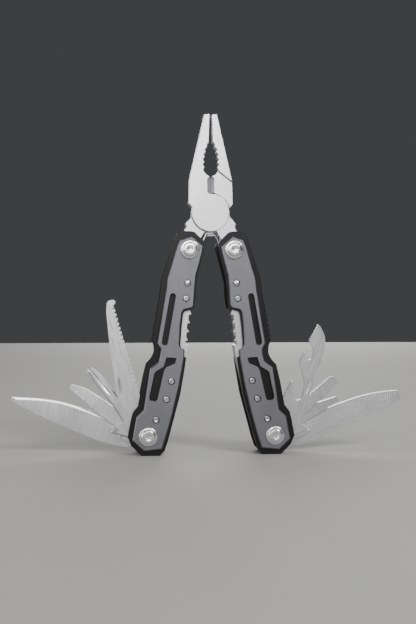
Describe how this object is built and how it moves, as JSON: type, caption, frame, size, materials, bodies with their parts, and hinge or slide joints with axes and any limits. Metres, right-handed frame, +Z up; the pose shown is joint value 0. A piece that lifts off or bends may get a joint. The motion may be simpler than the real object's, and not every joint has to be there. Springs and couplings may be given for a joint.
{
  "type": "multi tool",
  "caption": "Folding multi tool standing open: plier jaws with wire cutter, two channel handles with lock bars, and knife, saw, file, opener and screwdrivers fanned out.",
  "frame": {"origin": "middle of the floor rectangle under the whole tool as it stands open", "axes": "+Z up through the jaws, -Y towards the front scales, +X along the whole width towards the file"},
  "size_m": [0.1866, 0.0234, 0.1589],
  "materials": {
    "jaw_steel": "satin, finely blasted stainless",
    "tool_steel": "satin ground stainless",
    "lock_bar": "satin stainless",
    "spring_steel": "bright spring steel",
    "washer": "plain steel",
    "polished_bolt": "polished stainless",
    "small_fastener": "bright steel",
    "alloy_scale": "bead-blasted, mid grey",
    "black_frame": "black oxide coated"
  },
  "bodies": {
    "root": {"front_jaw": "jaw_steel", "pliers_pivot_pin": "small_fastener", "front_jaw_spring": "spring_steel"},
    "back_half": {"back_jaw": "jaw_steel", "back_jaw_spring": "spring_steel"},
    "left_handle": {"left_front_scale": "alloy_scale", "left_front_frame": "black_frame", "left_front_scale_rivet": "small_fastener", "left_front_washer": "washer", "left_back_scale": "alloy_scale", "left_back_frame": "black_frame", "left_back_scale_rivet": "small_fastener", "left_back_washer": "washer", "left_jaw_bolt": "polished_bolt", "left_jaw_nut": "polished_bolt", "left_tool_bolt": "polished_bolt", "left_tool_nut": "polished_bolt", "left_spring_rivet": "small_fastener", "left_spring_screw": "small_fastener", "left_lock_axle": "small_fastener", "left_tool_rest_pin": "small_fastener", "left_lock_spring": "spring_steel"},
    "left_lock_rocker": {"left_lock_bar": "lock_bar"},
    "saw_blade": {"saw": "tool_steel"},
    "phillips_driver_blade": {"phillips_driver": "tool_steel"},
    "large_driver_blade": {"large_driver": "tool_steel"},
    "knife_blade": {"knife": "tool_steel"},
    "right_handle": {"right_front_scale": "alloy_scale", "right_front_frame": "black_frame", "right_front_scale_rivet": "small_fastener", "right_front_washer": "washer", "right_back_scale": "alloy_scale", "right_back_frame": "black_frame", "right_back_scale_rivet": "small_fastener", "right_back_washer": "washer", "right_jaw_bolt": "polished_bolt", "right_jaw_nut": "polished_bolt", "right_tool_bolt": "polished_bolt", "right_tool_nut": "polished_bolt", "right_spring_rivet": "small_fastener", "right_spring_screw": "small_fastener", "right_lock_axle": "small_fastener", "right_tool_rest_pin": "small_fastener", "right_lock_spring": "spring_steel"},
    "right_lock_rocker": {"right_lock_bar": "lock_bar"},
    "opener_blade": {"opener": "tool_steel"},
    "medium_driver_blade": {"medium_driver": "tool_steel"},
    "small_driver_blade": {"small_driver": "tool_steel"},
    "file_blade": {"file": "tool_steel"}
  },
  "joints": [
    {"name": "pliers_pivot", "type": "hinge", "parent": "root", "child": "back_half", "pos_m": [0.00015, 0, 0.11268], "axis": [0, -1, 0], "range_deg": [-26, 1.2]},
    {"name": "left_handle_fold", "type": "hinge", "parent": "back_half", "child": "left_handle", "pos_m": [-0.01015, 0, 0.09497], "axis": [0, 1, 0], "range_deg": [0, 167.5]},
    {"name": "left_lock_press", "type": "hinge", "parent": "left_handle", "child": "left_lock_rocker", "pos_m": [-0.01857, 0, 0.03436], "axis": [0, 1, 0], "range_deg": [-2.5, 0], "stiffness_Nm_per_rad": 0.3, "springref_deg": 14.32},
    {"name": "saw_fold", "type": "hinge", "parent": "left_handle", "child": "saw_blade", "pos_m": [-0.0292, 0, 0.00906], "axis": [0, 1, 0], "range_deg": [-151.4, 28.3]},
    {"name": "phillips_fold", "type": "hinge", "parent": "left_handle", "child": "phillips_driver_blade", "pos_m": [-0.0292, 0, 0.00906], "axis": [0, 1, 0], "range_deg": [-124.3, 53.2]},
    {"name": "large_driver_fold", "type": "hinge", "parent": "left_handle", "child": "large_driver_blade", "pos_m": [-0.0292, 0, 0.00906], "axis": [0, 1, 0], "range_deg": [-109.3, 68.7]},
    {"name": "knife_fold", "type": "hinge", "parent": "left_handle", "child": "knife_blade", "pos_m": [-0.0292, 0, 0.00906], "axis": [0, 1, 0], "range_deg": [-91.7, 85.9]},
    {"name": "right_handle_fold", "type": "hinge", "parent": "root", "child": "right_handle", "pos_m": [0.01045, 0, 0.09497], "axis": [0, -1, 0], "range_deg": [0, 167.5]},
    {"name": "right_lock_press", "type": "hinge", "parent": "right_handle", "child": "right_lock_rocker", "pos_m": [0.01887, 0, 0.03436], "axis": [0, -1, 0], "range_deg": [-2.5, 0], "stiffness_Nm_per_rad": 0.3, "springref_deg": 14.32},
    {"name": "opener_fold", "type": "hinge", "parent": "right_handle", "child": "opener_blade", "pos_m": [0.02949, 0, 0.00906], "axis": [0, -1, 0], "range_deg": [-145.3, 34.4]},
    {"name": "medium_driver_fold", "type": "hinge", "parent": "right_handle", "child": "medium_driver_blade", "pos_m": [0.02949, 0, 0.00906], "axis": [0, -1, 0], "range_deg": [-118.6, 60.4]},
    {"name": "small_driver_fold", "type": "hinge", "parent": "right_handle", "child": "small_driver_blade", "pos_m": [0.02949, 0, 0.00906], "axis": [0, -1, 0], "range_deg": [-103.5, 74]},
    {"name": "file_fold", "type": "hinge", "parent": "right_handle", "child": "file_blade", "pos_m": [0.02949, 0, 0.00906], "axis": [0, -1, 0], "range_deg": [-92.3, 85.7]}
  ]
}
